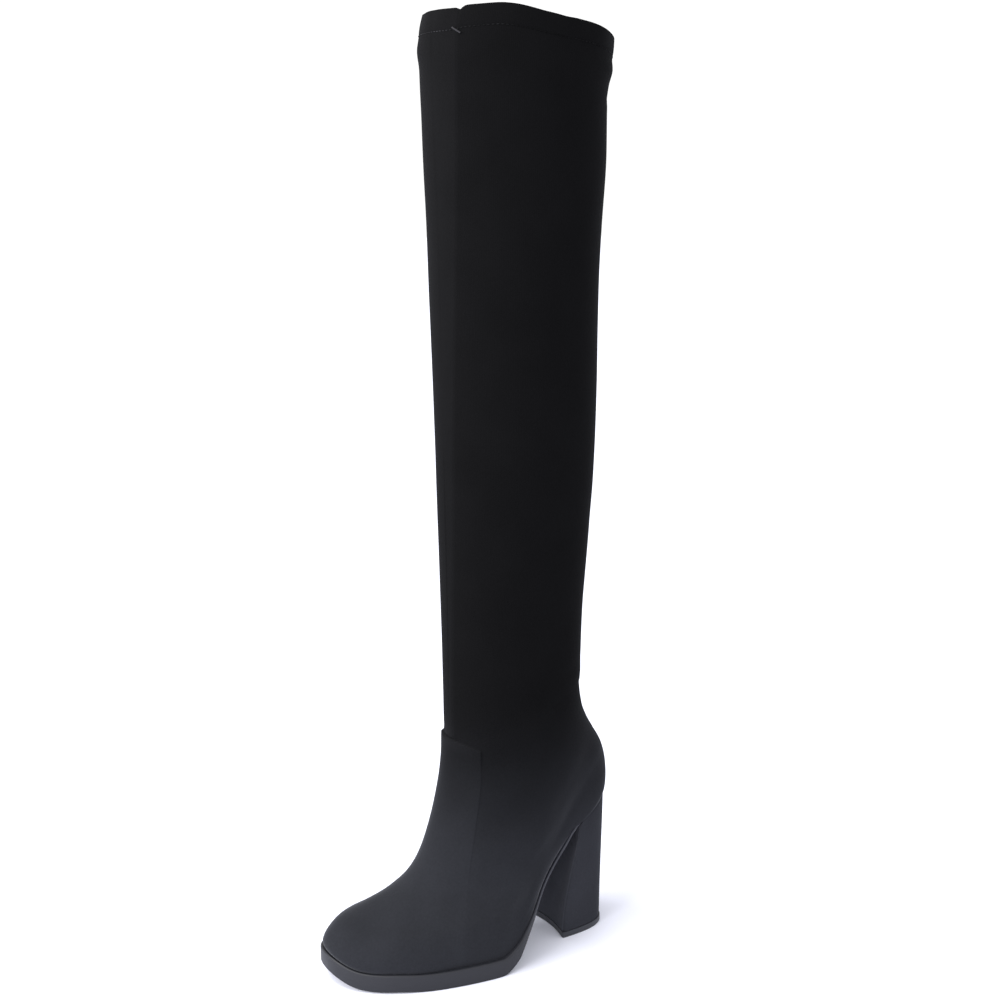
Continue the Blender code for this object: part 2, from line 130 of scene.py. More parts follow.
CROWN = {
    "back": (0.0, 0.02, 0.053, 0.11, 0.18, 0.37, 0.58, 0.88, 1.0),
    "rise": (0.0, 0.06, 0.42, 0.76, 0.96, 0.76, 0.26, 0.06, 0.0),
}
CROWN_START = 0.70
SEAT_BACK = FOOT["back"][0] * ANKLE_ALONG
ANKLE_FRONT = ANKLE_ALONG + ANKLE_DEPTH

# The leg's seam, as a share of the half ring on the outer side, from the ankle to the hem.
LEG_SEAM = {
    "up": (0.0, 0.08, 0.15, 0.35, 0.60, 0.85, 0.97, 1.0),
    "share": (0.029, 0.031, 0.036, 0.056, 0.082, 0.111, 0.119, 0.119),
}

# Soft folds put on one by one: side, share of the half ring, height, and how far each runs round (a share) and
# up.
# depth is outward where positive; slope tilts the fold, in metres of height per share.
FOLDS = {
    "side": (1, 1, 1, -1, 1, 1, -1, -1, 1, 1),
    "share": (0.82, 0.88, 0.94, 0.16, 0.70, 0.55, 0.80, 0.55, 0.42, 0.93),
    "height": (0.6222, 0.6064, 0.6095, 0.6318, 0.2080, 0.1900, 0.6080, 0.2000, 0.2150, 0.1780),
    "wide": (0.16, 0.07, 0.05, 0.14, 0.16, 0.12, 0.10, 0.14, 0.12, 0.14),
    "tall": (0.0074, 0.0030, 0.0026, 0.0070, 0.0060, 0.0070, 0.0030, 0.0070, 0.0080, 0.0060),
    "depth": (0.0026, -0.0024, -0.0012, 0.0014, -0.0005, -0.0004, -0.0008, -0.0005, 0.0003, 0.0003),
    "slope": (0.0, 0.030, 0.010, 0.0, 0.020, -0.020, 0.020, 0.015, 0.020, 0.0),
}

# How far the filled leg stands off its plain shape behind and in front, by height.
SWELL = {
    "height": (
        0.165, 0.191, 0.204, 0.232, 0.259, 0.314, 0.341, 0.369, 0.41, 0.451, 0.478, 0.52, 0.5605, 0.6, 0.65,
    ),
    "back_mm": (0.0, 0.6, 1.3, 1.2, 0.9, 1.0, 1.4, 1.1, 0.2, -0.6, -0.7, 0.0, 1.0, 0.0, 0.0),
    "front_mm": (0.0, 0.1, 0.3, 0.5, 0.7, 0.8, 0.6, 0.2, 0.0, 0.2, 0.4, 0.3, 0.6, 0.3, 0.0),
}

# The rim's rise over its plain line, from the back by the inner side (below 0) to the front and the outer side.
RIM = {
    "turn": (
        -1.0, -0.60, -0.35, -0.18, -0.08, 0.0, 0.05, 0.105, 0.15, 0.20, 0.30, 0.42, 0.47,
        0.53, 0.60, 0.68, 0.82, 1.0,
    ),
    "rise": (
        0.0, 0.0, 0.0030, 0.0043, 0.0043, 0.0039, 0.0035, 0.0030, 0.0023, 0.0013, 0.0008, -0.0009, -0.0008,
        0.0006, 0.0012, 0.0009, 0.0003, 0.0,
    ),
}
RIM_FADE = 0.050
RIM_NOTCH = 0.0016
LEG_SPAN = COLLAR_HEIGHT - VAMP_HEIGHT
HEM_START = 1 - HEM_HEIGHT / LEG_SPAN

# The hem: how far its stitches lie under the rim, its fullness, the stitches' pull and the waves they leave.
STITCH_DROP = 0.0134
HEM_PUFF = 0.0004
STITCH_PULL = 0.0003
HEM_WAVE = 0.0002
HEM_WAVES = 41

# The cloth's points on a half ring: before its seam, close to it and behind it, and half the close share.
LEG_COLUMNS = (14, 9, 86, 0.010)
FOOT_COLUMNS = (42, 9, 88, 0.006)

# The cloth's loops: the row where their spacing changes, and how many lie below and above it.
LEG_ROWS = (0.04, 17, 176)
FOOT_ROWS = (0.92, 82, 32)
HEM_ROWS = 20

# The sock is drawn in above the vamp's top edge. The edge dips to the side seam and has a corner in front.
NECK_IN = 0.0009
NECK_FADE = 0.016
VAMP_DIP = 0.0088
VAMP_CORNER = 0.0028
NECK_SPREAD = 0.17
CORNER_TURN, CORNER_SPREAD = -0.125, 0.045
EDGE_LOW, EDGE_HIGH = 0.0001, 0.0013

# The leg's sewn seam: how wide its groove and banks are, and the banks' height as a share of its depth.
GROOVE_WIDE = 0.0008
BANK_WIDE = 0.0035
BANK_HIGH = 0.4

# Where the counter's stiffener rounds the cloth: shares of the half ring and rows, in and out, and how far the
# cloth is blurred there, in loops and points.
COUNTER_SHARES = (0.45, 0.62, 0.76, 0.90)
COUNTER_ROWS = (0.02, 0.14, 0.65, 0.80)
COUNTER_BLUR = 5

# How far apart the ribs of the outer cloths are drawn.
CLOTH_WALES = {"brushed_stretch_jersey": 0.0011, "backed_stretch_jersey": 0.0010}

# How much paler or darker each part of the cloth is drawn than the cloth beside it. The counter is drawn paler
# towards the back and the heel's breast paler all over, as painted light where the lamps leave them darker.
LEG_PALER = 0.32
VAMP_PALER = 0.04
QUARTER_PALER = -0.12
COUNTER_PAINTED_LIGHT = 0.36
BREAST_PAINTED_LIGHT = 0.65

# How far the toe's corners are turned up or down, and how much more under the sole.
TOE_TURN = 0.0024
TREAD_TURN = 0.0014

# The bar tack: half its width, its points, how it slants, how far it stands proud and its stitches.
TACK_HALF = 0.0030
TACK_POINTS = 12
TACK_SLANT = (0.0010, -0.0030)
TACK_PROUD = 0.0008
TACK_STITCH = {"Pitch": 0.00055, "Length": 0.0010, "Width": 0.0012}

# The sole: its lower rounding as a share of its upper one, the toe's extra ledge, the lining's soft edge.
TREAD_ROUND = 0.6
TOE_LEDGE = 0.0005
SOFT_EDGE = 0.0008
SOFT_RISE = 0.0004

# The heel: points on each side, loops up it, how far its cover and its lift stand proud of the block, the
# rounding of its corners at the seat, at the rest and on the lift, and a hair's breadth.
HEEL_SIDE = 46
HEEL_ROWS = 40
COVER = 0.0008
LIFT_PROUD = 0.0012
SEAT_CORNER, REST_CORNER, LIFT_CORNER = 0.0022, 0.0040, 0.0026
HAIR = 0.00004

# Points on a finely drawn half ring, and the angle in degrees past which an edge is sharp.
FINE = 1200
SHARP_ANGLE = 50

CAMERA_PLACE = (0.830, -0.5988, 0.520)
CAMERA_TURN = 57.0
CAMERA_TILT = 10.8
FOCAL_PIXELS = 1434.0
IMAGE_PIXELS = 1000.0
SENSOR_MM = 36.0
FLOOR_HALF = 60.0
WORLD_POWER = 1.08
KEY_POWER = 3.6
KEY_SPREAD = 0.75
KEY_WAY = (-0.15, 1.85, -0.90)


def steady(xs, ys, x):
    """A curve through the points with no overshoot, so that level stretches stay level."""
    xs, ys, x = np.array(xs, float), np.array(ys, float), np.asarray(x, float)
    step = np.diff(xs)
    slope = np.diff(ys) / step
    both = slope[:-1] * slope[1:]
    mean = np.zeros(len(ys))
    rising = both > 0
    mean[1:-1][rising] = 2 * both[rising] / (slope[:-1] + slope[1:])[rising]
    mean[0], mean[-1] = slope[0], slope[-1]
    return hermite(xs, ys, mean, x)


def flowing(xs, ys, x):
    """A smooth curve through the points."""
    xs, ys = np.array(xs, float), np.array(ys, float)
    return hermite(xs, ys, np.gradient(ys, xs), np.asarray(x, float))


def hermite(xs, ys, slopes, x):
    """The cubic curve through points with given slopes."""
    i = np.clip(np.searchsorted(xs, x, side="right") - 1, 0, len(xs) - 2)
    step = xs[i + 1] - xs[i]
    t = (x - xs[i]) / step
    left = (2 * t**3 - 3 * t**2 + 1) * ys[i] + (t**3 - 2 * t**2 + t) * step * slopes[i]
    right = (3 * t**2 - 2 * t**3) * ys[i + 1] + (t**3 - t**2) * step * slopes[i + 1]
    return left + right


def mix(a, b, share):
    """From a at share 0 to b at share 1."""
    return a + (b - a) * share


def smooth(low, high, x):
    """0 below low, 1 above high, and smooth between."""
    t = np.clip((x - low) / (high - low), 0, 1)
    return t * t * (3 - 2 * t)


def bell(x, width):
    """1 at 0, fading to almost nothing at a few widths."""
    return np.exp(-((x / width) ** 2))


def between(x, start, full, fade, end):
    """0 up to start, 1 from full to fade, 0 from end on."""
    return smooth(start, full, x) * (1 - smooth(fade, end, x))


def sole_column(column, along):
    """A column of the sole's table at places along the boot."""
    ahead = (np.asarray(along) - HEEL_SEAT_LENGTH) / (FOOT_LENGTH - HEEL_SEAT_LENGTH)
    return steady(SOLE["ahead"], SOLE[column], ahead)


def sole_thickness(along):
    """The outsole's thickness."""
    return mix(SEAT_THICKNESS, FOREFOOT_HEIGHT, sole_column("thick", along))


def sole_top(along):
    """Height of the outsole's upper face."""
    climb = (HEEL_SEAT_HEIGHT - FOREFOOT_HEIGHT) * sole_column("rise", along)
    return FOREFOOT_HEIGHT + climb + TOE_SPRING * sole_column("spring", along)


def sole_bottom(along):
    """Height of the outsole's underside, level under the ball."""
    return sole_top(along) - sole_thickness(along)


def foot_ring(row):
    """The sizes of the foot's ring at this row, 0 at the sole and 1 at the ankle."""
    place = row * (len(FOOT["front"]) - 1)
    rows = np.arange(len(FOOT["front"]))
    got = {name: float(flowing(rows, values, place)) for name, values in FOOT.items()}
    width = mix(BALL_WIDTH, ANKLE_WIDTH, np.clip(got["front_up"], 0, 1))
    return got | {
        "front": mix(ANKLE_FRONT, FOOT_LENGTH, got["front"]),
        "front_z": mix(float(sole_top(FOOT_LENGTH)), VAMP_HEIGHT, got["front_up"]),
        "back": ANKLE_ALONG * got["back"],
        "back_z": HEEL_SEAT_HEIGHT + COUNTER_HEIGHT * got["back_up"],
        "half": width * got["width"] / 2,
        "waist": BALL_WIDTH * got["waist"],
        "swing": SWING * max(0.0, 1 - row / SWING_END),
        "crown": 0.0,
    }


def leg_ring(row):
    """The sizes of the leg's ring at this row, 0 at the ankle and 1 at the collar."""
    depth = mix(ANKLE_DEPTH, COLLAR_DEPTH, flowing(LEG["up"], LEG["depth"], row))
    width = mix(ANKLE_WIDTH, COLLAR_WIDTH, flowing(LEG["up"], LEG["width"], row))
    back = mix(ANKLE_ALONG, COLLAR_ALONG, flowing(LEG["up"], LEG["back"], row))
    return {
        "front": back + depth,
        "front_z": mix(VAMP_HEIGHT, COLLAR_HEIGHT, row),
        "back": back,
        "back_z": mix(HEEL_SEAT_HEIGHT + COUNTER_HEIGHT, COLLAR_HEIGHT - COLLAR_DROP, row),
        "half": width * FOOT["width"][-1] / 2,
        "widest": 0.5,
        "round_front": 2.0,
        "round_back": 2.0,
        "waist": 0.0,
        "follow": 0.0,
        "swing": 0.0,
        "crown": COLLAR_CROWN * max(0.0, (row - CROWN_START) / (1 - CROWN_START)) ** 0.5,
        "seam": float(steady(LEG_SEAM["up"], LEG_SEAM["share"], row)),
    }


def half_width(ring, back):
    """Half the ring's width at a place between its front (0) and its back (1)."""
    ahead = np.clip((ring["widest"] - back) / ring["widest"], 0, 1)
    behind = np.clip((back - ring["widest"]) / (1 - ring["widest"]), 0, 1)
    front = (1 - ahead ** ring["round_front"]) ** (1 / ring["round_front"])
    rear = (1 - behind ** ring["round_back"]) ** (1 / ring["round_back"])
    arch = ring["waist"] * np.exp(-(((back - WAIST_PLACE) / WAIST_SPREAD) ** 2))
    half = ring["half"] * np.minimum(front, rear) - arch
    half[0] = half[-1] = 0.0
    return half


def ring_curve(ring, side, samples=420):
    """One side of a ring, front to back, as points of (across, along, height)."""
    back = (1 - np.cos(np.linspace(0, np.pi, samples))) / 2
    along = mix(ring["front"], ring["back"], back)
    low = mix(FOOT_LENGTH, SEAT_BACK, back)
    bend = sole_top(low) - mix(float(sole_top(FOOT_LENGTH)), HEEL_SEAT_HEIGHT, back)
    height = mix(ring["front_z"], ring["back_z"], back) + bend * ring["follow"]
    crown = ring["crown"] * (1 if side > 0 else INNER_CROWN)
    height += crown * steady(CROWN["back"], CROWN["rise"], back)
    middle = ring["swing"] * flowing(SWING_LINE["back"], SWING_LINE["side"], back)
    return np.stack([middle + side * half_width(ring, back), along, height], axis=1)


def lengths(curve):
    """How far each point of a curve lies along it."""
    return np.concatenate([[0], np.cumsum(np.linalg.norm(np.diff(curve, axis=0), axis=1))])


def points_at(wanted, known, curve):
    """Points between those of a curve, where its own points lie at the known places."""
    return np.stack([np.interp(wanted, known, curve[:, k]) for k in range(3)], axis=1)


def along_curve(curve, shares):
    """Points at these shares of the curve's length."""
    length = lengths(curve)
    return points_at(shares * length[-1], length, curve)


def half_length(loops):
    """Half the length of each loop of a grid."""
    return np.linalg.norm(np.diff(loops, axis=1), axis=2).sum(axis=1)[:, None] / 2


def column_shares(seam, columns):
    """Where a half ring's points lie on its length: evenly, with a close group on both sides of the seam."""
    front_columns, seam_columns, back_columns, half = columns
    front = np.linspace(0, seam - half, front_columns + 1)[:-1]
    close = np.linspace(seam - half, seam + half, seam_columns)
    rear = np.linspace(seam + half, 1, back_columns + 1)[1:]
    return np.concatenate([front, close, rear])


def two_part_rows(middle, low_count, high_count, end=1.0):
    """Rows from 0 to the end, even on each side of a middle row."""
    low, high = np.linspace(0, middle, low_count), np.linspace(middle, end, high_count)
    return np.concatenate([low[:-1], high])


def there_and_back(outer, inner):
    """One loop from the front round the outer side to the back and home along the inner side."""
    return np.concatenate([outer, inner[-2:0:-1]])


def cloth_grid(make_ring, rows, columns):
    """The cloth's points, and for each its share of the half ring, its side and the ring's seam share."""
    rings = [make_ring(row) for row in rows]
    points, shares = [], []
    for ring in rings:
        half = column_shares(ring["seam"], columns)
        points.append(there_and_back(*(along_curve(ring_curve(ring, side), half) for side in (1, -1))))
        shares.append(there_and_back(half, half))
    side = there_and_back(np.ones(len(half)), -np.ones(len(half)))
    seams = np.array([ring["seam"] for ring in rings])[:, None]
    return {"points": np.stack(points), "share": np.stack(shares), "side": side, "seam": seams}


def outward(grid):
    """Unit normals of a grid of loops."""
    round_ring = np.roll(grid, -1, axis=1) - np.roll(grid, 1, axis=1)
    up = np.gradient(grid, axis=0)
    normal = np.cross(up, round_ring)
    return normal / np.linalg.norm(normal, axis=2, keepdims=True)


def level(normals):
    """The same directions turned level."""
    flat = normals * np.array([1.0, 1.0, 0.0])
    return flat / np.linalg.norm(flat, axis=-1, keepdims=True)


def in_plan(loop, distance):
    """A loop moved outward in plan by a distance for each point."""
    ahead = np.roll(loop, -1, axis=0) - np.roll(loop, 1, axis=0)
    side = np.stack([-ahead[:, 1], ahead[:, 0]], axis=1)
    side /= np.linalg.norm(side, axis=1, keepdims=True)
    moved = loop.copy()
    moved[:, :2] += side * np.broadcast_to(distance, len(loop))[:, None]
    return moved


def to_world(points):
    """Points of (across, along, height) turned into the object's X, Y and Z."""
    points = np.asarray(points)
    return np.stack([points[..., 0], HEEL_MIDDLE - points[..., 1], points[..., 2]], axis=-1)


def folds_at(share, side, height):
    """How far the soft folds move the cloth outward at these places."""
    move = np.zeros(share.shape)
    for fold in zip(*(FOLDS[name] for name in ("side", "share", "height", "wide", "tall", "depth", "slope"))):
        where, middle, up, wide, tall, depth, slope = fold
        off = share - middle
        line = up + slope * off
        near = bell(off, wide) * bell(height - line, tall)
        move += depth * near * (side == where)
    return move


def softened(values, spread):
    """Values of a grid of loops blurred over a few of its rows and columns."""
    offsets = np.arange(-3 * spread, 3 * spread + 1)
    weights = np.exp(-0.5 * (offsets / spread) ** 2)
    weights /= weights.sum()
    last = len(values) - 1
    rows = np.clip(np.arange(last + 1)[:, None] + offsets, 0, last)
    values = (values[rows] * weights[:, None, None]).sum(axis=1)
    return sum(np.roll(values, int(offset), axis=1) * weight for offset, weight in zip(offsets, weights))


def toe_lift(points, more=0.0):
    """The toe's own spring: its inner corner turns up, with more under the sole, its outer one down."""
    across, along = points[..., 0], points[..., 1]
    inner = (1 - smooth(-0.024, 0.012, across)) * smooth(0.162, 0.190, along)
    outer = smooth(-0.010, 0.016, across) * smooth(0.185, 0.210, along) * (1 - smooth(0.212, 0.230, along))
    lifted = np.array(points)
    lifted[..., 2] += (TOE_TURN + more) * inner - TOE_TURN * outer
    return lifted


def placed(name, data):
    """A new object in the scene."""
    item = bpy.data.objects.new(name, data)
    bpy.context.scene.collection.objects.link(item)
    return item


def mesh_object(name, loops, faces, materials, slots=None, cloth_map=None, panel_and_painted_light=None):
    """An object from loops of points, with a material slot, a map and a paleness where they are given."""
    mesh = bpy.data.meshes.new(name)
    mesh.from_pydata([tuple(p) for p in to_world(np.concatenate(loops))], [], faces)
    if slots is not None:
        mesh.polygons.foreach_set("material_index", slots)
    if cloth_map is not None:
        layer = mesh.uv_layers.new(name="cloth")
        layer.data.foreach_set("uv", np.asarray(cloth_map, np.float32).reshape(-1))
    if panel_and_painted_light is not None:
        layer = mesh.attributes.new("panel_and_painted_light", "FLOAT", "POINT")
        layer.data.foreach_set("value", np.asarray(panel_and_painted_light, np.float32).reshape(-1))
    for material in materials:
        mesh.materials.append(material)
    mesh.shade_smooth()
    mesh.set_sharp_from_angle(angle=np.radians(SHARP_ANGLE))
    return placed(name, mesh)


def loop_faces(rows, count, closed):
    """The faces between a grid's loops, and the row, the next row and the column where each starts."""
    row, column = np.divmod(np.arange((rows if closed else rows - 1) * count), count)
    up, on = (row + 1) % rows, (column + 1) % count
    corners = (row, column), (row, on), (up, on), (up, column)
    return np.stack([r * count + c for r, c in corners], axis=1).tolist(), row, up, column


def tube(name, loops, first_inner, materials, panel_and_painted_light):
    """A closed hollow piece from loops that run up the outside and down the inside.

    Its map is in metres, round the piece and up it, so a knit keeps its real pitch. The paleness given is how
    much paler or darker the cloth is drawn at each point, on the foot partly as painted light.
    """
    world = to_world(loops)
    rows, count = world.shape[:2]
    around = np.linalg.norm(np.roll(world, -1, axis=1) - world, axis=2)
    turn = np.concatenate([np.zeros((rows, 1)), np.cumsum(around, axis=1)], axis=1)
    girth = turn[:, -1:].mean()
    turn = turn / turn[:, -1:] * girth
    climb = np.concatenate([[0], np.cumsum(np.linalg.norm(np.diff(world, axis=0), axis=2).mean(axis=1))])
    faces, row, up, column = loop_faces(rows, count, True)
    low, high = climb[row], np.append(climb[1:], climb[-1] + climb[1])[row]
    cloth_map = np.stack([
        turn[row, column], low, turn[row, column + 1], low,
        turn[up, column + 1], high, turn[up, column], high,
    ], axis=1)
    slots = (row >= first_inner).astype(np.int32)
    return mesh_object(name, loops, faces, materials, slots, cloth_map, panel_and_painted_light)


def block(name, loops, materials, panel_and_painted_light=None, mapped=False):
    """A filled piece from loops, from the bottom up, filled across from each loop's first point.

    A mapped block has a map in metres, across it and up it.
    """
    rows, count = len(loops), len(loops[0])
    faces = loop_faces(rows, count, False)[0]
    for first, turned in ((0, True), ((rows - 1) * count, False)):
        for j in range(count // 2):
            left, right = (first + j, first + j + 1), (first + (count - j) % count, first + count - j - 1)
            face = list(dict.fromkeys([left[0], left[1], right[1], right[0]]))
            faces.append(face[::-1] if turned else face)
    cloth_map = None
    if mapped:
        points = np.concatenate(loops)
        places = np.stack([points[:, 0] + points[:, 1], points[:, 2]], axis=1)
        cloth_map = places[[corner for face in faces for corner in face]]
    return mesh_object(name, loops, faces, materials, None, cloth_map, panel_and_painted_light)


def linear(code):
    """An sRGB hex colour as the linear values that a shader takes."""
    srgb = [int(code[i : i + 2], 16) / 255 for i in (1, 3, 5)]
    return tuple(c / 12.92 if c <= 0.04045 else ((c + 0.055) / 1.055) ** 2.4 for c in srgb)


def add_node(tree, kind, links=None, values=None, **settings):
    """A shader or geometry node with what feeds it, its values and its settings."""
    node = tree.nodes.new(kind)
    for name, value in settings.items():
        setattr(node, name, value)
    for name, value in (values or {}).items():
        node.inputs[name].default_value = value
    for name, source in (links or {}).items():
        tree.links.new(source, node.inputs[name])
    return node


def new_material(name, **values):
    """A material, its tree, its own shader with what is the same all over, and the place on the piece."""
    material = bpy.data.materials.new(name)
    material.use_nodes = True
    tree = material.node_tree
    shader = tree.nodes["Principled BSDF"]
    for socket, value in values.items():
        shader.inputs[socket.replace("_", " ")].default_value = value
    place = add_node(tree, "ShaderNodeTexCoord").outputs["Object"]
    return material, tree, shader, place


def noise(tree, place, scale, detail):
    """Cloudy noise, its scale counted per metre."""
    values = {"Scale": scale, "Detail": detail}
    return add_node(tree, "ShaderNodeTexNoise", {"Vector": place}, values).outputs["Fac"]


def on_axis(tree, place, axis):
    """The X, Y or Z of a place, in metres."""
    return add_node(tree, "ShaderNodeSeparateXYZ", {"Vector": place}).outputs[axis]


def ranged(tree, value, start, end, low=0.0, high=1.0, kind="LINEAR"):
    """Goes from start to end as the value goes from low to high."""
    values = {"From Min": low, "From Max": high, "To Min": start, "To Max": end}
    node = add_node(tree, "ShaderNodeMapRange", {"Value": value}, values, interpolation_type=kind)
    return node.outputs["Result"]


def combined(tree, operation, first, second):
    """Two values added or multiplied."""
    return add_node(tree, "ShaderNodeMath", {0: first, 1: second}, operation=operation).outputs["Value"]


def blended(tree, first, second, factor):
    """A colour that goes from the first to the second as the factor goes from 0 to 1."""
    ends = {6: (*first, 1.0), 7: (*second, 1.0)}
    return add_node(tree, "ShaderNodeMix", {"Factor": factor}, ends, data_type="RGBA").outputs[2]


def mottled(tree, colour, spread, factor):
    """A colour that gets darker and lighter by a spread."""
    return blended(tree, [c * (1 - spread) for c in colour], [c * (1 + spread) for c in colour], factor)


def coloured(tree, shader, colour, gain):
    """Gives the shader a colour times a gain."""
    node = add_node(tree, "ShaderNodeVectorMath", {"Vector": colour, "Scale": gain}, operation="SCALE")
    tree.links.new(node.outputs["Vector"], shader.inputs["Base Color"])


def roughened(tree, shader, value, low, high):
    """Gives the shader a roughness that varies with a value."""
    tree.links.new(ranged(tree, value, low, high), shader.inputs["Roughness"])


def bumped(tree, shader, height, strength, distance):
    """Gives the shader a fine relief, its distance in metres."""
    bump = add_node(tree, "ShaderNodeBump", {"Height": height}, {"Strength": strength, "Distance": distance})
    tree.links.new(bump.outputs["Normal"], shader.inputs["Normal"])


def knit_cloth(name, top, low, sheen, wale, nap):
    """Stretch jersey of polyester and elastane, knitted, then brushed: fine ribs up the leg under a short nap.

    It is almost black, with no gloss and a faint pale bloom where it turns away from the eye. Its colour is
    painted lighter and bluer towards the floor as painted light, and parts of it are drawn paler or darker as
    they are given.
    """
    material, tree, shader, place = new_material(
        name, Specular_IOR_Level=0.02, Sheen_Roughness=0.35, Sheen_Tint=(0.85, 0.87, 0.95, 1.0)
    )
    cloth = add_node(tree, "ShaderNodeUVMap", uv_map="cloth")
    # The real wales are about 0.4 mm apart: drawn coarser, so that the camera can see them.
    wave = {"Scale": np.pi / (10 * wale), "Distortion": 1.5, "Detail": 1.0}
    ribs = add_node(tree, "ShaderNodeTexWave", {"Vector": cloth.outputs["UV"]}, wave, bands_direction="X")
    fuzz = noise(tree, place, 1 / nap, 4.0)
    # Patches of 20 to 40 mm where the nap lies a little differently.
    patches = noise(tree, place, 30.0, 3.0)
    mottle = ranged(tree, combined(tree, "ADD", fuzz, patches), 0.86, 1.14, 0.6, 1.4)
    panel_and_painted_light = add_node(tree, "ShaderNodeAttribute", attribute_name="panel_and_painted_light").outputs["Fac"]
    paler = add_node(tree, "ShaderNodeMath", {0: panel_and_painted_light}, {1: 1.0}, operation="ADD").outputs["Value"]
    # Painted light: the colour goes from the low colour near the floor to the top colour higher up, standing in
    # for light thrown up from the floor.
    climb = ranged(tree, on_axis(tree, place, "Z"), 0.0, 1.0, 0.04, 0.195, "SMOOTHSTEP")
    tree.links.new(ranged(tree, climb, sheen, 0.015), shader.inputs["Sheen Weight"])
    coloured(tree, shader, blended(tree, low, top, climb), combined(tree, "MULTIPLY", mottle, paler))
    roughened(tree, shader, fuzz, 0.82, 0.97)
    links = {0: ribs.outputs["Fac"], 2: fuzz}
    relief = add_node(tree, "ShaderNodeMath", links, {1: 0.3}, operation="MULTIPLY_ADD")
    bumped(tree, shader, relief.outputs["Value"], 0.3, 0.0004)
    return material


def moulded_rubber(name, colour, roughness, grain):
    """Injection-moulded thermoplastic rubber: the mould's fine even grain and a low satin shine."""
    material, tree, shader, place = new_material(name, IOR=1.5, Specular_IOR_Level=0.35)
    wide = noise(tree, place, 45.0, 4.0)
    # Painted highlight: the rubber is drawn brighter from 22 mm up, twice as bright above 45 mm, where the
    # waist's edge rises.
    painted_waist_highlight = ranged(tree, on_axis(tree, place, "Z"), 1.0, 2.1, 0.022, 0.045)
    coloured(tree, shader, mottled(tree, colour, 0.12, wide), painted_waist_highlight)
    roughened(tree, shader, wide, roughness - 0.08, roughness + 0.10)
    bumped(tree, shader, noise(tree, place, 1 / grain, 3.0), 0.25, 0.0002)
    return material


def spun_thread(name, colour):
    """Spun polyester sewing thread: its twist and soft shine make it a little paler than the cloth."""
    material, tree, shader, place = new_material(name, Roughness=0.7, Specular_IOR_Level=0.06)
    twist = add_node(tree, "ShaderNodeTexWave", {"Vector": place}, {"Scale": 500.0}, bands_direction="DIAGONAL")
    # Here and there the stitches sink into the nap and hardly show.
    shows = ranged(tree, noise(tree, place, 55.0, 2.0), 0.0, 1.0, 0.40, 0.60)
    # Painted light: the thread is drawn brighter towards the inner side, where the light falls, and darker
    # towards the outer side.
    painted_side_light = ranged(tree, on_axis(tree, place, "X"), 3.2, 0.2, -0.01, 0.055)
    coloured(tree, shader, mottled(tree, colour, 0.55, shows), painted_side_light)
    bumped(tree, shader, twist.outputs["Fac"], 0.4, 0.0001)
    return material


def sock_board(colour):
    """Woven sock lining glued on a board: a plain even weave, matt and a little paler than the jersey."""
    material, tree, shader, place = new_material("woven_sock_lining", Specular_IOR_Level=0.15, Sheen_Weight=0.1)
    weave = add_node(tree, "ShaderNodeTexChecker", {"Vector": place}, {"Scale": 900.0})
    soil = noise(tree, place, 60.0, 3.0)
    tree.links.new(mottled(tree, colour, 0.15, soil), shader.inputs["Base Color"])
    roughened(tree, shader, soil, 0.8, 0.95)
    bumped(tree, shader, weave.outputs["Fac"], 0.3, 0.0002)
    return material


def studio_floor():
    """Matt white studio paper with a cool cast that shows only in its shadows."""
    material, tree, shader, place = new_material("studio_paper", Roughness=0.9, Specular_IOR_Level=0.1)
    paper = mottled(tree, linear("#edeffc"), 0.01, noise(tree, place, 400.0, 2.0))
    tree.links.new(paper, shader.inputs["Base Color"])
    return material


def length_property(name, description, length):
    """A length setting, in metres."""
    return bpy.props.FloatProperty(name=name, description=description, default=length, unit="LENGTH")


class BootSizes(bpy.types.PropertyGroup):
    """Sizes of the sewn and moulded detail."""

    stitch_pitch: length_property("Stitch pitch", "From one hem stitch to the next", 0.0031)
    stitch_length: length_property("Stitch length", "Thread that shows at each stitch", 0.0021)
    thread_width: length_property("Thread width", "Width of the sewing thread", 0.00055)
    vamp_step: length_property("Vamp step", "How far the vamp stands proud of the quarters", 0.0012)
    seam_groove: length_property("Seam groove", "Depth of the leg's sewn seam", 0.00025)
    edge_round: length_property("Edge rounding", "Radius on the sole's edges", 0.0012)


def colour_property(name, description, code):
    """A colour setting with its sRGB hex default."""
    return bpy.props.FloatVectorProperty(
        name=name, description=description, default=linear(code), subtype="COLOR", size=3, min=0.0, max=1.0
    )


class BootColours(bpy.types.PropertyGroup):
    """Colours of the boot's finishes."""

    leg: colour_property("Leg", "The knit on the leg and at the ankle", "#0c0c0d")
    # Painted light: the foot and heel colours are the knit drawn lighter and bluer near the floor, standing in
    # for light from the floor.
    foot: colour_property("Foot", "The knit over the forefoot, where light and dust lift it", "#232428")
    heel: colour_property("Heel", "The knit that covers the heel", "#2c2d32")
    lining: colour_property("Lining", "The inside of the knit", "#1c1c1e")
    sock: colour_property("Sock lining", "The woven lining on the insole", "#302f2d")
    rubber: colour_property("Sole", "The moulded sole", "#1a1b21")
    lift: colour_property("Heel lift", "The hard lift under the heel", "#2c2d33")
    thread: colour_property("Thread", "The hem's thread", "#19191b")
    tack: colour_property("Bar tack", "The bar tack's thread", "#39383b")


def cloth_pair(colours, outer):
    """The jersey of the leg or the firmer one of the foot, and the lining's, each made once."""
    pair = []
    for name, top, low, sheen, wale, nap in (
        (outer, colours.leg, colours.foot, 0.20, CLOTH_WALES[outer], 0.0016),
        ("sock_lining_jersey", colours.lining, colours.lining, 0.05, 0.0012, 0.0020),
    ):
        pair.append(bpy.data.materials.get(name) or knit_cloth(name, top, low, sheen, wale, nap))
    return pair


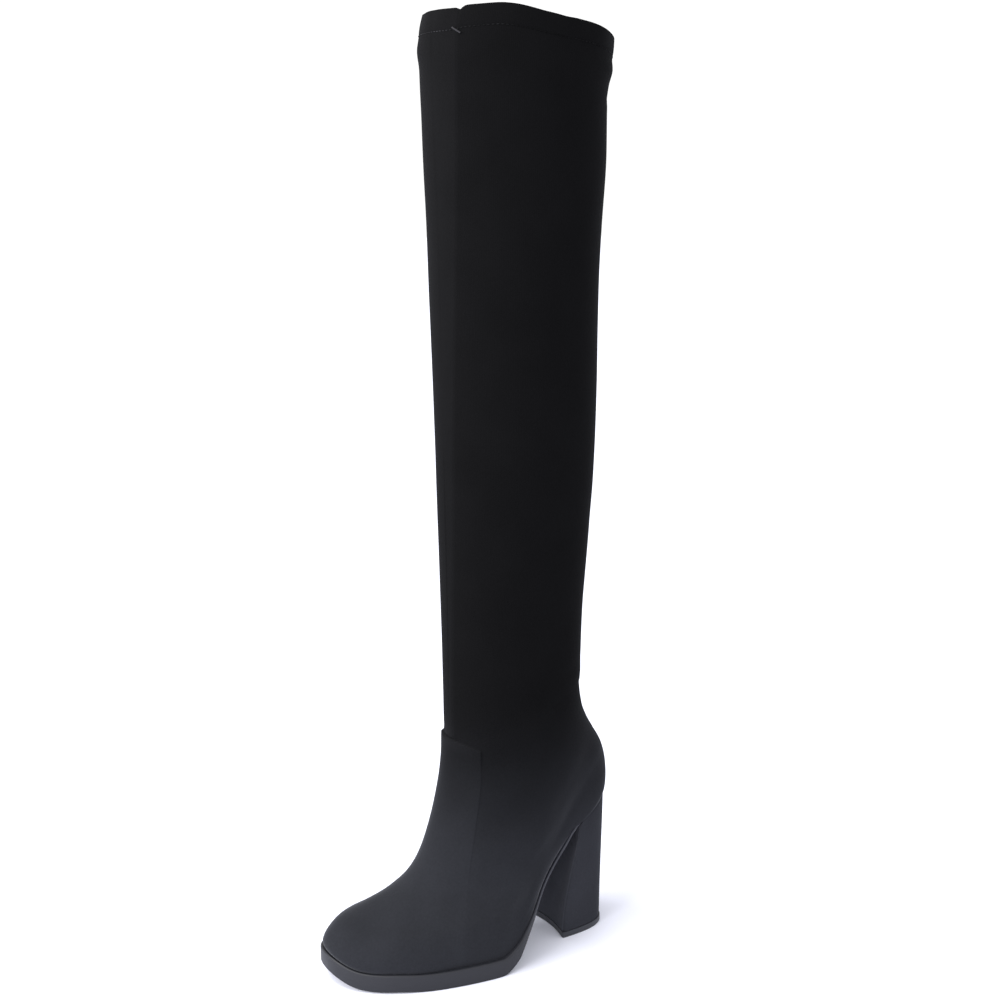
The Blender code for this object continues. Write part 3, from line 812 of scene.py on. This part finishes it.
def neck_in(share):
    """How far the sock is drawn in above the vamp's top edge, most at the front."""
    return NECK_IN * bell(share, NECK_SPREAD)


def corner_lift(turn, weight):
    """The vamp's top edge stands up in a small corner at the inner front."""
    return VAMP_CORNER * bell(turn - CORNER_TURN, CORNER_SPREAD) * weight


def leg_surface(rows, sizes):
    """The leg's outer face with its seam, its folds and the dip above the vamp."""
    grid = cloth_grid(leg_ring, rows, LEG_COLUMNS)
    points, share, side = grid["points"], grid["share"], grid["side"]
    from_seam = (share - grid["seam"]) * half_length(points)
    groove, bank = bell(from_seam, GROOVE_WIDE), BANK_HIGH * sizes.seam_groove * bell(from_seam, BANK_WIDE)
    move = (-sizes.seam_groove * groove + bank) * (side > 0)
    move += folds_at(share, side, points[..., 2])
    climb = (np.asarray(rows) * LEG_SPAN)[:, None]
    move -= neck_in(share) * np.exp(-climb / NECK_FADE)
    for column, middle, wide, where in (("back_mm", 0.82, 0.28, 1), ("front_mm", 0.18, 0.20, -1)):
        swell = steady(SWELL["height"], SWELL[column], points[..., 2]) / 1000
        move += swell * bell(share - middle, wide) * (side == where)
    from_top = LEG_SPAN - climb
    turn = side * share
    normals = outward(points)
    points[..., 2] += steady(RIM["turn"], RIM["rise"], turn) * (1 - smooth(0.0, RIM_FADE, from_top))
    points[..., 2] -= RIM_NOTCH * bell(from_seam, 0.0024) * (side > 0) * bell(from_top, 0.006)
    points[..., 2] += corner_lift(turn, np.exp(-climb / NECK_FADE))
    before_seam = np.where(side > 0, 1 - smooth(-0.0004, 0.0004, from_seam), 1 - smooth(0.25, 0.45, share))
    panel_and_painted_light = LEG_PALER * before_seam
    return {"points": points, "normals": normals, "move": move, "panel_and_painted_light": panel_and_painted_light, "share": share}


class BOOT_OT_leg(bpy.types.Operator):
    """Knit leg from the ankle to the hem, with the seam that runs up its front"""

    bl_idname = "boot.leg"
    bl_label = "Stretch leg"

    def execute(self, context):
        sizes = context.scene.boot_sizes
        cloths = cloth_pair(context.scene.boot_colours, "brushed_stretch_jersey")
        face = leg_surface(two_part_rows(*LEG_ROWS, HEM_START), sizes)
        outer = face["points"] + face["normals"] * face["move"][..., None]
        inner = face["points"] + face["normals"] * (face["move"] - SHAFT_WALL)[..., None]
        panel_and_painted_light = [face["panel_and_painted_light"], np.zeros_like(inner[..., 0])]
        leg = tube("stretch_leg", [*outer, *inner[::-1]], len(outer), cloths, panel_and_painted_light)
        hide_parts("shaft")
        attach(leg, "root")
        return {"FINISHED"}


class BOOT_OT_hem(bpy.types.Operator):
    """Hem turned in at the collar, with a soft roll at the top and a slight pucker at its stitches"""

    bl_idname = "boot.hem"
    bl_label = "Collar hem"

    def execute(self, context):
        sizes = context.scene.boot_sizes
        cloths = cloth_pair(context.scene.boot_colours, "brushed_stretch_jersey")
        roll = HEM_WALL / 2
        rows = np.linspace(HEM_START, 1 - roll / LEG_SPAN, HEM_ROWS)
        face = leg_surface(rows, sizes)
        points, normals, move = face["points"], face["normals"], face["move"]
        from_top = (1 - rows)[:, None] * LEG_SPAN
        from_end = HEM_HEIGHT - from_top
        puff = HEM_PUFF * smooth(0.0, 0.006, from_end)
        groove = -STITCH_PULL * bell(from_top - STITCH_DROP, 0.0013)
        waves = HEM_WAVE * np.sin(face["share"] * HEM_WAVES) * smooth(0.0, 0.008, from_end)
        outer = points + normals * (move + puff + groove + waves)[..., None]
        wall = mix(SHAFT_WALL, HEM_WALL, smooth(0.0, 0.002, from_end))
        inner = points + normals * (move - wall + puff)[..., None]
        top, thickness = (outer[-1] + inner[-1]) / 2, (outer[-1] - inner[-1]) / 2
        up = np.array([0.0, 0.0, roll])
        turns = np.linspace(0, np.pi, 9)[1:-1]
        rim = [top + thickness * np.cos(a) + up * np.sin(a) for a in turns]
        panel_and_painted_light = [*face["panel_and_painted_light"], *([face["panel_and_painted_light"][-1]] * len(rim)), *np.zeros_like(inner[..., 0])]
        hem = tube("collar_hem", [*outer, *rim, *inner[::-1]], len(outer) + len(rim) // 2, cloths, panel_and_painted_light)
        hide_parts("hem_band")
        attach(hem, "root")
        return {"FINISHED"}


def foot_surface(rows, sizes):
    """The foot's outer and inner face, its vamp proud of the quarters, and its paleness, partly painted light.
    """
    grid = cloth_grid(foot_ring, rows, FOOT_COLUMNS)
    points, share = grid["points"], grid["share"]
    counter = between(share, *COUNTER_SHARES) * between(rows, *COUNTER_ROWS)[:, None]
    points = mix(points, softened(softened(points, COUNTER_BLUR), COUNTER_BLUR), counter[..., None])
    normals = outward(points)
    normals[0] = level(normals[0])

    before_seam = (grid["seam"] - share) * half_length(points)
    climbs = np.linalg.norm(np.diff(points, axis=0), axis=2)
    from_top = np.concatenate([np.cumsum(climbs[::-1], axis=0)[::-1], np.zeros((1, climbs.shape[1]))])
    under_edge = from_top - VAMP_DIP * np.clip(share / FOOT["seam"][-1], 0, 1) ** 2
    below = smooth(EDGE_LOW, EDGE_HIGH, under_edge)
    on_vamp = smooth(-0.0009, 0.0007, before_seam) * below

    # The step is full at the top edge and over the instep, and fades down the side seam.
    step = mix(0.03, 0.28, smooth(0.045, 0.110, points[..., 2])) + 0.72 * bell(under_edge, 0.010)
    instep = smooth(0.004, 0.030, before_seam) * smooth(0.01, 0.05, under_edge)
    step = mix(step, np.maximum(step, 0.9), instep)
    move = sizes.vamp_step * on_vamp * step
    move -= neck_in(share) * (1 - below)
    move -= 0.0001 * bell(before_seam + 0.0011, 0.0009) * smooth(0.0, 0.004, under_edge) * step
    move += folds_at(share, grid["side"], points[..., 2]) * smooth(0.0, 0.01, points[..., 2] - 0.15)

    # Painted highlights: the vamp's top edge, and a patch just under it at the front, are drawn paler.
    painted_edge_highlight = 0.9 * bell(under_edge, 0.0012) + 0.35 * bell(under_edge - 0.003, 0.004) * bell(share, 0.13)
    quarter = (1 - on_vamp) * smooth(0.07, 0.12, points[..., 2]) * (1 - smooth(0.5, 0.7, share))
    panel_and_painted_light = (VAMP_PALER + painted_edge_highlight) * on_vamp + QUARTER_PALER * quarter * smooth(0.0, 0.02, from_top)
    # Painted light: the counter is drawn paler towards the back, but for its top edge.
    panel_and_painted_light += COUNTER_PAINTED_LIGHT * smooth(0.62, 0.92, share) * smooth(0.0, 0.045, from_top)

    points[..., 2] += corner_lift(grid["side"] * share, np.exp(-from_top / NECK_FADE))
    outer = points + normals * move[..., None]
    inner = points + normals * (np.minimum(move, 0.0) - FOOT_WALL)[..., None]
    for loops in (outer, inner):
        loops[0, :, 2] = sole_top(loops[0, :, 1]) + HAIR
    return toe_lift(outer), toe_lift(inner), panel_and_painted_light


class BOOT_OT_foot(bpy.types.Operator):
    """Lasted foot: the vamp's raw edge stands proud in front, the quarters run round the heel"""

    bl_idname = "boot.foot"
    bl_label = "Lasted foot"

    def execute(self, context):
        cloths = cloth_pair(context.scene.boot_colours, "backed_stretch_jersey")
        outer, inner, panel_and_painted_light = foot_surface(two_part_rows(*FOOT_ROWS), context.scene.boot_sizes)
        panel_and_painted_light = [panel_and_painted_light, np.zeros_like(panel_and_painted_light)]
        foot = tube("lasted_foot", [*outer, *inner[::-1]], len(outer), cloths, panel_and_painted_light)
        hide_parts("upper")
        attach(foot, "root")
        return {"FINISHED"}


def stitch_tree(material):
    """Stitches laid along a line at an even pitch, each a small rounded length of thread."""
    tree = bpy.data.node_groups.new("hem_stitches", "GeometryNodeTree")
    faces = tree.interface
    faces.new_socket(name="Line", in_out="INPUT", socket_type="NodeSocketGeometry")
    sockets = {
        name: faces.new_socket(name=name, in_out="INPUT", socket_type="NodeSocketFloat")
        for name in ("Pitch", "Length", "Width")
    }
    faces.new_socket(name="Stitches", in_out="OUTPUT", socket_type="NodeSocketGeometry")
    entry = add_node(tree, "NodeGroupInput").outputs
    line = add_node(tree, "GeometryNodeMeshToCurve", {"Mesh": entry["Line"]})
    links = {"Curve": line.outputs["Curve"], "Length": entry["Pitch"]}
    places = add_node(tree, "GeometryNodeCurveToPoints", links, mode="LENGTH")
    thread = add_node(tree, "GeometryNodeMeshIcoSphere", None, {"Radius": 0.5, "Subdivisions": 2})
    links = {"X": entry["Width"], "Y": entry["Width"], "Z": entry["Length"]}
    size = add_node(tree, "ShaderNodeCombineXYZ", links)
    laid = add_node(tree, "GeometryNodeInstanceOnPoints", {
        "Points": places.outputs["Points"], "Instance": thread.outputs["Mesh"],
        "Rotation": places.outputs["Rotation"], "Scale": size.outputs["Vector"],
    })
    real = add_node(tree, "GeometryNodeRealizeInstances", {"Geometry": laid.outputs["Instances"]})
    links = {"Geometry": real.outputs["Geometry"]}
    finish = add_node(tree, "GeometryNodeSetMaterial", links, {"Material": material})
    end = add_node(tree, "NodeGroupOutput")
    tree.links.new(finish.outputs["Geometry"], end.inputs["Stitches"])
    return tree, {name: socket.identifier for name, socket in sockets.items()}


def sew(name, path, closed, material, numbers):
    """A row of stitches along a path, turned into a plain mesh."""
    count = len(path)
    edges = [(i, i + 1) for i in range(count - 1)] + ([(count - 1, 0)] if closed else [])
    line = bpy.data.meshes.new(name + "_line")
    line.from_pydata([tuple(p) for p in to_world(path)], edges, [])
    guide = placed(name + "_guide", line)
    tree, inputs = stitch_tree(material)
    layer = guide.modifiers.new("stitches", "NODES")
    layer.node_group = tree
    for socket, value in numbers.items():
        layer[inputs[socket]] = value
    bpy.context.view_layer.update()
    evaluated = guide.evaluated_get(bpy.context.evaluated_depsgraph_get())
    mesh = bpy.data.meshes.new_from_object(evaluated)
    mesh.name = name
    mesh.shade_smooth()
    guide.modifiers.remove(layer)
    bpy.data.objects.remove(guide)
    piece = placed(name, mesh)
    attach(piece, "root")
    return piece


class BOOT_OT_stitches(bpy.types.Operator):
    """Hem stitches round the collar and the bar tack over the leg's seam"""

    bl_idname = "boot.stitches"
    bl_label = "Stitches"

    def execute(self, context):
        sizes = context.scene.boot_sizes
        colours = context.scene.boot_colours
        thread = spun_thread("spun_polyester_thread", colours.thread)
        tack_thread = spun_thread("bar_tack_thread", colours.tack)
        row = 1 - STITCH_DROP / LEG_SPAN
        face = leg_surface([row - 0.0004, row, row + 0.0004], sizes)
        path = (face["points"] + face["normals"] * (face["move"] + 0.0003)[..., None])[1]
        numbers = {"Pitch": sizes.stitch_pitch, "Length": sizes.stitch_length, "Width": sizes.thread_width}
        sew("hem_stitches", path, True, thread, numbers)

        seam = leg_ring(row)["seam"]
        shares = column_shares(seam, LEG_COLUMNS)
        half = np.linalg.norm(np.diff(path, axis=0), axis=1).sum() / 2
        across = np.linspace(-TACK_HALF, TACK_HALF, TACK_POINTS) / half
        columns = np.interp(seam + across, shares, np.arange(len(shares)))
        tack = points_at(columns, np.arange(len(path)), path)
        tack[:, 2] += np.linspace(*TACK_SLANT, TACK_POINTS)
        tack += face["normals"][1][int(round(columns[TACK_POINTS // 2]))] * TACK_PROUD
        sew("bar_tack", tack, False, tack_thread, TACK_STITCH)
        return {"FINISHED"}


def stations(low, high, count):
    """Places along a flat piece, close together at both ends."""
    return mix(low, high, (1 - np.cos(np.linspace(0, np.pi, count))) / 2)


def plate_loop(outline, height, count=150):
    """An outline from its front tip round the outer side, cut at stations, at a height along it."""
    outline = np.roll(outline, -int(np.argmax(outline[:, 1])), axis=0)
    back = int(np.argmin(outline[:, 1]))
    sides = (outline[back::-1], np.concatenate([outline[back:], outline[:1]]))
    along = stations(outline[back, 1], outline[0, 1], count)
    loops = [np.interp(along, side[:, 1], side[:, 0]) for side in sides]
    across = np.concatenate([loops[0][::-1], loops[1][1:-1]])
    along = np.concatenate([along[::-1], along[1:-1]])
    return np.stack([across, along, height(along)], axis=1)


def fine_outline():
    """The sole's edge line at many points."""
    return there_and_back(*(ring_curve(foot_ring(0), side, FINE) for side in (1, -1)))


class BOOT_OT_sole(bpy.types.Operator):
    """Moulded rubber sole with rounded edges, and the sock lining inside"""

    bl_idname = "boot.sole"
    bl_label = "Sole and insole"

    def execute(self, context):
        sizes = context.scene.boot_sizes
        colours = context.scene.boot_colours
        edge = fine_outline()
        ledge = SOLE_LEDGE * sole_column("ledge", edge[:, 1])
        ledge += TOE_LEDGE * (1 - smooth(-0.012, 0.004, edge[:, 0])) * smooth(0.185, 0.205, edge[:, 1])
        turns = np.linspace(0, np.pi / 2, 6)
        levels = [(turn, sole_bottom, 1, sizes.edge_round * TREAD_ROUND, TREAD_TURN) for turn in turns[::-1]]
        levels += [(turn, sole_top, -1, sizes.edge_round, 0.0) for turn in turns]
        loops = []
        for turn, face, way, radius, more in levels:
            inset = sole_edge(edge[:, 1], radius) * (1 - np.cos(turn))
            loop = plate_loop(in_plan(edge, ledge - inset), face)
            loop[:, 2] += way * sole_edge(loop[:, 1], radius) * (1 - np.sin(turn))
            loops.append(toe_lift(loop, more))
        sole = block("rubber_sole", loops, [moulded_rubber("moulded_rubber", colours.rubber, 0.5, 0.0007)])
        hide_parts("outsole")
        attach(sole, "root")

        board = in_plan(edge, -(FOOT_WALL + INSOLE_CLEARANCE))
        low = toe_lift(plate_loop(board, lambda along: sole_top(along) + GAP, 90))
        high = low + np.array([0, 0, INSOLE_THICKNESS])
        soft = toe_lift(plate_loop(in_plan(board, -SOFT_EDGE), lambda along: sole_top(along) + GAP, 90))
        soft[:, 2] += INSOLE_THICKNESS + SOFT_RISE
        lining = block("sock_lining", [low, high, soft], [sock_board(colours.sock)])
        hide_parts("insole")
        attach(lining, "root")
        return {"FINISHED"}


def sole_edge(along, radius):
    """The rounding on the sole's edges, less where the sole is thin."""
    return np.minimum(radius, 0.4 * sole_thickness(along))


def heel_outline(sides):
    """One outline from the heel's outer and inner side, each given from front to back."""
    outer, inner = (along_curve(side, np.linspace(0, 1, HEEL_SIDE)) for side in sides)
    return np.concatenate([outer, inner[-2::-1]])


def seat_outline():
    """The heel's outline where it meets the sole, from its outer front corner round the back."""
    sides = (ring_curve(foot_ring(0), side, FINE) for side in (1, -1))
    return heel_outline(curve[curve[:, 1] <= HEEL_SEAT_LENGTH] for curve in sides)


def rest_outline(inset):
    """The heel's outline on the floor: straight sides and a round back."""
    turn = np.linspace(0, 1, 900)
    half = HEEL_WIDTH / 2 - inset
    across = half * (1 - turn**REST_ROUND) ** (1 / REST_ROUND)
    along = HEEL_BACK + mix(HEEL_LENGTH - inset, inset, turn)
    return heel_outline(np.stack([side * across, along, np.zeros(len(turn))], axis=1) for side in (1, -1))


def heel_loop(outline, hollow, round_corners):
    """The heel's whole outline from its outer front corner, with soft front corners."""
    start, end = outline[-1], outline[0]
    share = np.linspace(0, 1, len(outline))[1:-1, None]
    line = mix(start, end, share)
    line[:, 1] -= hollow * (1 - (2 * share[:, 0] - 1) ** 2)
    loop = np.concatenate([outline, line])
    closed = np.concatenate([loop, loop[:1]])
    length = lengths(closed)
    places = [(length[:-1] + shift * round_corners) % length[-1] for shift in np.linspace(-1, 1, 9)]
    return np.mean([points_at(place, length, closed) for place in places], axis=0)


class BOOT_OT_heel(bpy.types.Operator):
    """Covered block heel with a hollow breast, and the hard lift it stands on"""

    bl_idname = "boot.heel"
    bl_label = "Heel"

    def execute(self, context):
        colours = context.scene.boot_colours
        cloth = knit_cloth("heel_cover_jersey", colours.leg, colours.heel, 0.08, 0.0010, 0.0016)
        top = heel_loop(seat_outline(), BREAST_HOLLOW, SEAT_CORNER)
        top[:, 2] = sole_bottom(top[:, 1]) - GAP / 2
        foot = heel_loop(rest_outline(-COVER), BREAST_HOLLOW, REST_CORNER)
        foot[:, 2] = TOP_LIFT + GAP
        loops = []
        for fall in np.linspace(1, 0, HEEL_ROWS):
            eased = fall**FLARE_START
            flare = 3 * eased**2 - 2 * eased**3
            loop = mix(top, foot, flare)
            loop[:, 2] = mix(top[:, 2], foot[:, 2], fall)
            loops.append(loop)
        # The cover is turned up over the sole's seat, all round but for the breast.
        seat = smooth(0.0005, 0.0040, HEEL_SEAT_LENGTH - top[:, 1])
        for inset, rise in ((0.0, 0.9), (0.0002, 1.0), (0.0006, 1.0), (0.0008, 0.9), (0.0009, 0.0)):
            loop = in_plan(top, -inset)
            loop[:, 2] += (SEAT_THICKNESS + GAP / 2) * rise * seat + HAIR * rise
            loops.append(loop)
        # Painted light: the breast is drawn paler, standing in for light that the foot keeps off it.
        breast = np.where(np.arange(len(top)) < 2 * HEEL_SIDE - 1, 0.0, BREAST_PAINTED_LIGHT)
        heel = block("covered_heel", loops, [cloth], [breast] * len(loops), mapped=True)
        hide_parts("heel")
        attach(heel, "root")

        lift_loops = []
        for height, inset in ((0.0, 0.0003), (0.0003, 0.0001), (0.0009, 0.0), (TOP_LIFT, 0.0)):
            loop = heel_loop(rest_outline(inset - LIFT_PROUD), BREAST_HOLLOW, LIFT_CORNER)
            loop[:, 2] = height
            lift_loops.append(loop)
        lift = block("hard_lift", lift_loops, [moulded_rubber("hard_lift_rubber", colours.lift, 0.45, 0.0009)])
        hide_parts("heel_top_lift")
        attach(lift, "root")
        return {"FINISHED"}


def soft_light(name, place, aim, size, power):
    """A white soft box that looks at a point."""
    lamp = bpy.data.lights.new(name, "AREA")
    lamp.shape = "RECTANGLE"
    lamp.size, lamp.size_y = size
    lamp.energy = power
    light = placed(name, lamp)
    light.location = place
    light.rotation_euler = (Vector(aim) - Vector(place)).to_track_quat("-Z", "Y").to_euler()


class BOOT_OT_stage(bpy.types.Operator):
    """White floor, even studio light and the camera"""

    bl_idname = "boot.stage"
    bl_label = "Stage and camera"

    def execute(self, context):
        scene = context.scene
        mesh = bpy.data.meshes.new("studio_floor")
        corners = [(x * FLOOR_HALF, y * FLOOR_HALF, 0) for x, y in ((-1, -1), (1, -1), (1, 1), (-1, 1))]
        mesh.from_pydata(corners, [], [(0, 1, 2, 3)])
        mesh.materials.append(studio_floor())
        floor = placed("studio_floor", mesh)

        world = bpy.data.worlds.new("studio_walls")
        world.use_nodes = True
        back = world.node_tree.nodes["Background"]
        back.inputs["Color"].default_value = (1.0, 1.0, 1.0, 1.0)
        back.inputs["Strength"].default_value = WORLD_POWER
        scene.world = world
        scene.view_settings.view_transform = "Standard"

        key = bpy.data.lights.new("wide_key", "SUN")
        key.energy = KEY_POWER
        key.angle = KEY_SPREAD
        key.color = (1.0, 0.99, 0.97)
        placed("wide_key", key).rotation_euler = Vector(KEY_WAY).to_track_quat("-Z", "Y").to_euler()
        soft_light("side_box", (1.25, -1.15, 0.50), (0.02, -0.04, 0.1), (1.2, 0.7), 6.0)
        soft_light("toe_box", (-0.30, -0.50, 0.75), (0.0, -0.13, 0.05), (0.4, 0.4), 3.0)

        camera = placed("camera", bpy.data.cameras.new("camera"))
        camera.data.sensor_width = SENSOR_MM
        camera.data.lens = FOCAL_PIXELS / IMAGE_PIXELS * SENSOR_MM
        camera.location = CAMERA_PLACE
        camera.rotation_euler = (np.radians(90 - CAMERA_TILT), 0.0, np.radians(CAMERA_TURN))
        scene.camera = camera
        return {"FINISHED"}


class BOOT_PT_panel(bpy.types.Panel):
    """The boot's pieces in the sidebar"""

    bl_label = "Thigh high sock boot"
    bl_space_type = "VIEW_3D"
    bl_region_type = "UI"
    bl_category = "Boot"

    def draw(self, context):
        for name in BootSizes.__annotations__:
            self.layout.prop(context.scene.boot_sizes, name)
        for operator in OPERATORS:
            self.layout.operator(operator.bl_idname)


PIECES = (BOOT_OT_leg, BOOT_OT_hem, BOOT_OT_foot, BOOT_OT_stitches, BOOT_OT_sole, BOOT_OT_heel)
OPERATORS = (*PIECES, BOOT_OT_stage)
CLASSES = (BootSizes, BootColours, *OPERATORS, BOOT_PT_panel)


def register():
    for item in CLASSES:
        bpy.utils.register_class(item)
    bpy.types.Scene.boot_sizes = bpy.props.PointerProperty(type=BootSizes)
    bpy.types.Scene.boot_colours = bpy.props.PointerProperty(type=BootColours)


def unregister():
    del bpy.types.Scene.boot_colours
    del bpy.types.Scene.boot_sizes
    for item in reversed(CLASSES):
        bpy.utils.unregister_class(item)


def main():
    register()
    bpy.ops.boot.leg()
    bpy.ops.boot.hem()
    bpy.ops.boot.foot()
    bpy.ops.boot.stitches()
    bpy.ops.boot.sole()
    bpy.ops.boot.heel()
    bpy.ops.boot.stage()


if __name__ == "__main__":
    main()
